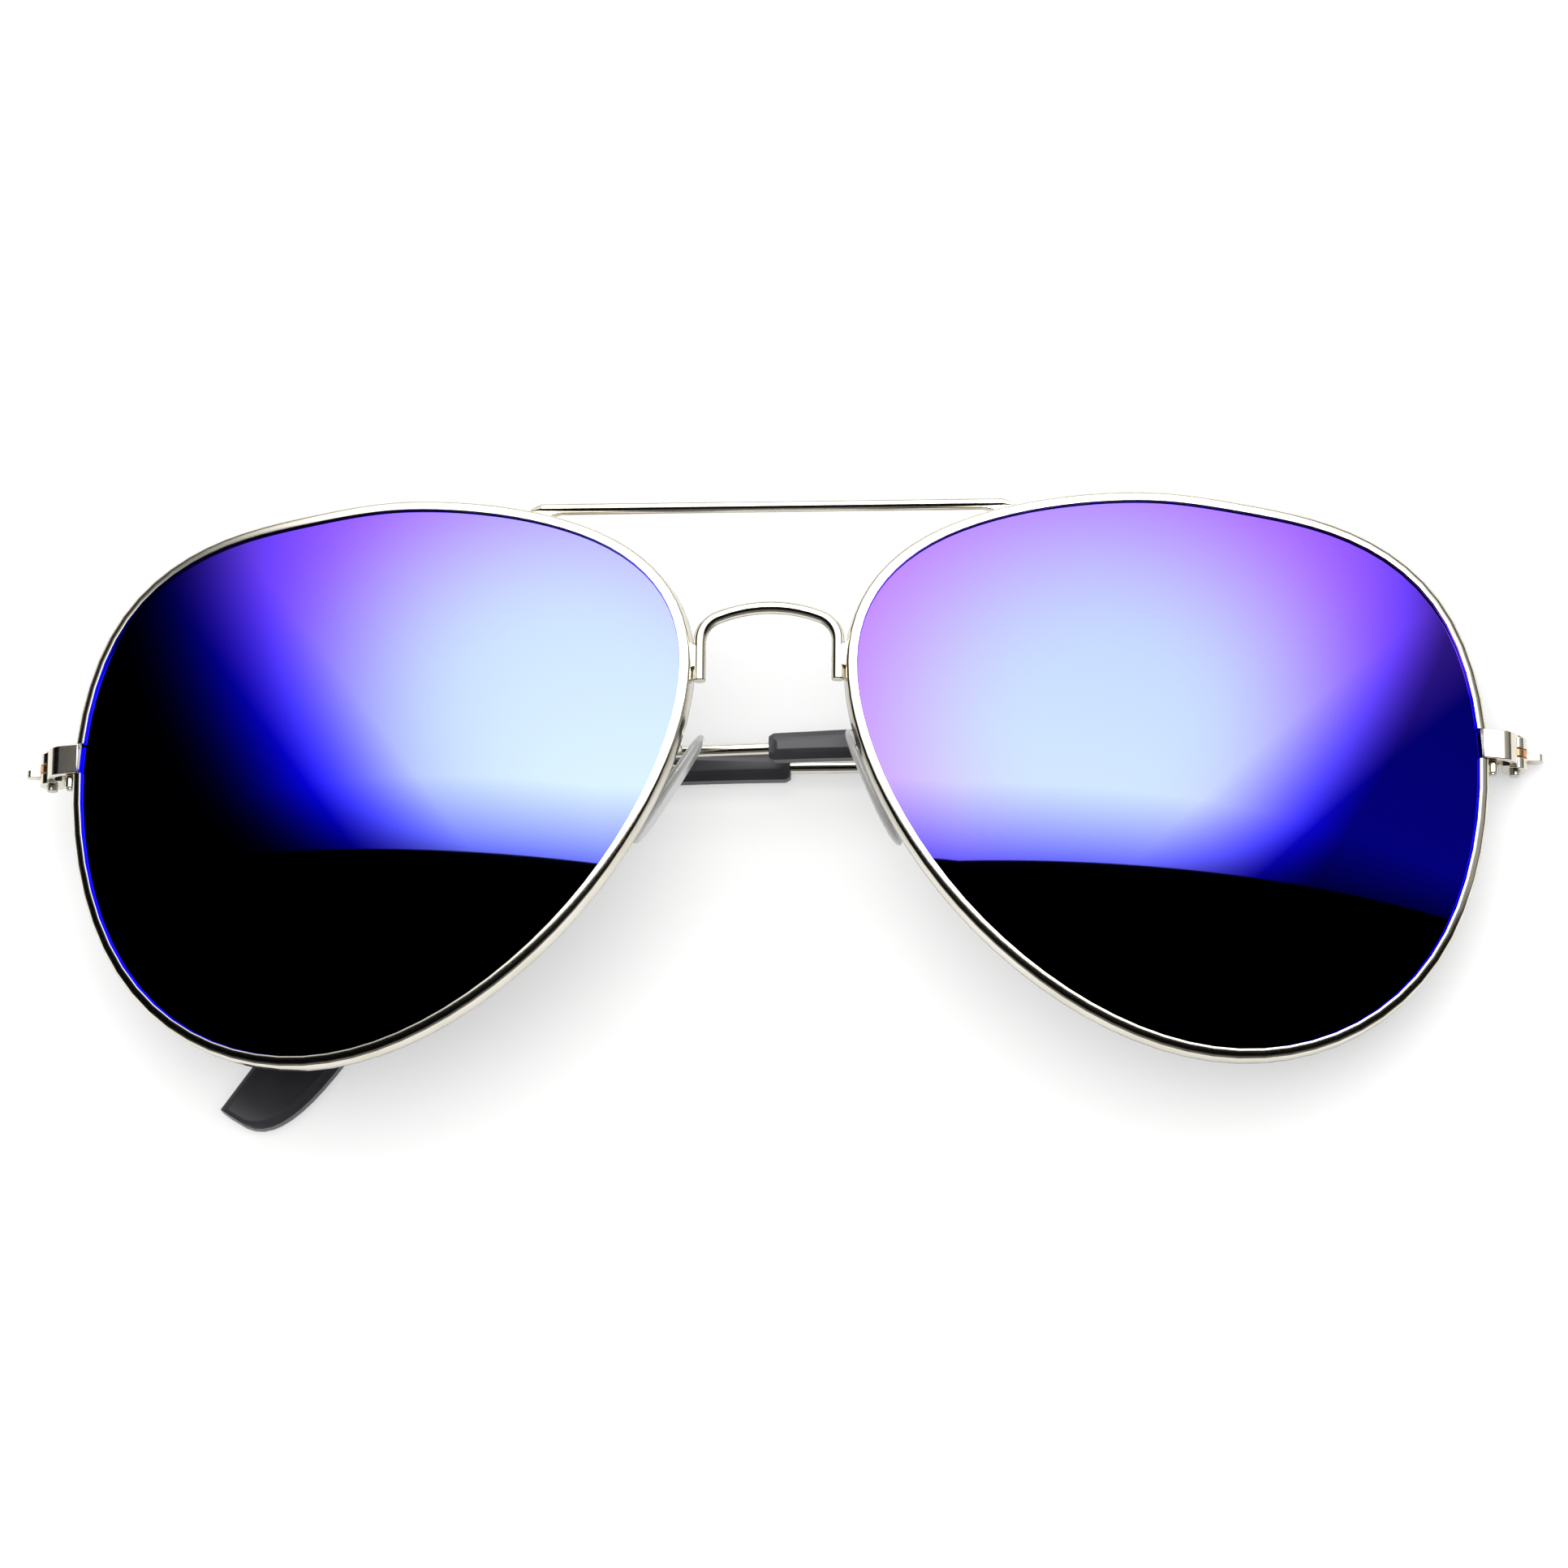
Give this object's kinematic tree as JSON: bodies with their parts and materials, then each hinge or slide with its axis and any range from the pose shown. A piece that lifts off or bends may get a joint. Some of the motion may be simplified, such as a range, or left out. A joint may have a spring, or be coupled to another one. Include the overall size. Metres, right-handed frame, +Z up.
{
  "type": "aviator sunglasses",
  "caption": "Folding wire-rimmed aviator sunglasses with mirrored teardrop lenses, a double bridge, rocking nose pads and hinged temples with bent plastic tips.",
  "frame": {"origin": "on the table, under the middle of the folded object's box", "axes": "+X to the viewer's right along the front, +Y up the lenses, +Z up from the table, out of the front of the lenses"},
  "size_m": [0.142, 0.056, 0.0219],
  "materials": {
    "silver_plate": "bright silver plate",
    "steel_screw": "turned",
    "mirror_lens": "blue mirror coat on dark lens",
    "clear_pad": "clear soft silicone",
    "black_tip": "glossy moulded"
  },
  "bodies": {
    "front": {"left_rim": "silver_plate", "right_rim": "silver_plate", "left_lens": "mirror_lens", "right_lens": "mirror_lens", "brow_bar": "silver_plate", "bridge": "silver_plate", "left_pad_arm": "silver_plate", "right_pad_arm": "silver_plate", "left_pad_box": "silver_plate", "right_pad_box": "silver_plate", "pad_screws": "steel_screw", "left_end_piece": "silver_plate", "right_end_piece": "silver_plate", "left_lock_block": "silver_plate", "right_lock_block": "silver_plate", "left_lock_tube": "silver_plate", "right_lock_tube": "silver_plate", "lock_screws": "steel_screw", "left_hinge_leaf": "silver_plate", "right_hinge_leaf": "silver_plate", "hinge_screws": "steel_screw"},
    "left_temple": {"left_temple_tongue": "silver_plate", "left_temple_wire": "silver_plate", "left_temple_tip": "black_tip"},
    "right_temple": {"right_temple_tongue": "silver_plate", "right_temple_wire": "silver_plate", "right_temple_tip": "black_tip"},
    "left_pad": {"left_pad_core": "silver_plate", "left_nose_pad": "clear_pad"},
    "right_pad": {"right_pad_core": "silver_plate", "right_nose_pad": "clear_pad"}
  },
  "joints": [
    {"name": "left_temple_fold", "type": "hinge", "parent": "front", "child": "left_temple", "pos_m": [-0.06827, 0.00558, 0.00687], "axis": [0, 1, 0], "range_deg": [0, 93.5]},
    {"name": "right_temple_fold", "type": "hinge", "parent": "front", "child": "right_temple", "pos_m": [0.06827, 0.00558, 0.0021], "axis": [0, -1, 0], "range_deg": [0, 90]},
    {"name": "left_pad_rock", "type": "hinge", "parent": "front", "child": "left_pad", "pos_m": [-0.01087, 0.0016, 0.01367], "axis": [0.1525, -0.0737, 0.9855], "range_deg": [-12, 12]},
    {"name": "right_pad_rock", "type": "hinge", "parent": "front", "child": "right_pad", "pos_m": [0.01133, 0.00133, 0.01289], "axis": [-0.0935, -0.0544, 0.9941], "range_deg": [-12, 12]}
  ]
}
